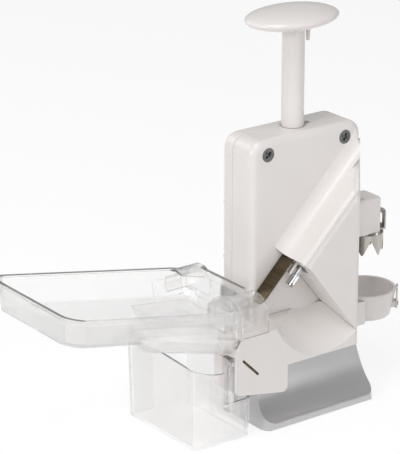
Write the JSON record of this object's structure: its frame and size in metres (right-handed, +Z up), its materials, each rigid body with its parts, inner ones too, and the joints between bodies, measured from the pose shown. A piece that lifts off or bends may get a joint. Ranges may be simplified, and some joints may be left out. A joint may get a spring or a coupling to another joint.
{
  "type": "cherry pitter",
  "caption": "Free-standing push-plunger cherry pitter with slanting pin, clear hopper tray, stone box, side plum stoner and cast foot.",
  "frame": {"origin": "on the table, under the axis of the plunger, at the underside of the foot's pad", "axes": "+X to the right along the housing's width, +Y to the back, +Z up along the plunger"},
  "size_m": [0.308, 0.1034, 0.2905],
  "materials": {
    "white_plastic": "glossy warm white moulding",
    "inner_plastic": "matt natural white moulding",
    "clear_plastic": "clear and glossy",
    "cast_silver": "cast, silver lacquer with a fine grain",
    "stainless": "brushed stainless sheet",
    "plated_steel": "zinc plated",
    "chrome": "bright chrome",
    "rubber": "matt black rubber"
  },
  "bodies": {
    "root": {"front_shell": "white_plastic", "back_shell": "white_plastic", "top_bush": "inner_plastic", "foot": "cast_silver", "foot_pad": "rubber", "shell_screws": "plated_steel", "foot_screws": "plated_steel", "spring_guide_rod": "plated_steel", "pin_guide": "white_plastic", "guard_strip": "stainless", "pit_plate": "stainless", "feed_tunnel": "clear_plastic", "tray_holder": "inner_plastic", "plum_cup": "white_plastic", "cup_clip": "stainless", "cup_rivet": "stainless"},
    "plunger": {"knob": "white_plastic", "index_peg": "white_plastic", "plunger_tube": "white_plastic", "tube_pin": "plated_steel", "crosshead": "inner_plastic", "return_spring": "plated_steel", "plum_block": "white_plastic", "blade_carrier": "stainless", "plum_blade": "stainless"},
    "pin": {"pin_carriage": "inner_plastic", "follower_stud": "plated_steel", "cherry_pin": "chrome", "pin_head": "chrome"},
    "tray": {"tray": "clear_plastic"},
    "container": {"stone_container": "clear_plastic"}
  },
  "joints": [
    {"name": "plunger_slide", "type": "slide", "parent": "root", "child": "plunger", "axis": [0, 0, -1], "range_m": [0, 0.065], "stiffness_N_per_m": 200, "springref_m": -0.02, "deforming": ["return_spring"]},
    {"name": "pin_slide", "type": "slide", "parent": "root", "child": "pin", "axis": [-0.7071, 0, -0.7071], "range_m": [0, 0.065]},
    {"name": "tray_slide", "type": "slide", "parent": "root", "child": "tray", "axis": [0, 0, 1], "range_m": [0, 0.06]},
    {"name": "container_slide", "type": "slide", "parent": "root", "child": "container", "axis": [-1, 0, 0], "range_m": [0, 0.1]}
  ],
  "couplings": [
    {"joint": "pin_slide", "follows": "plunger_slide", "ratio": 1}
  ]
}
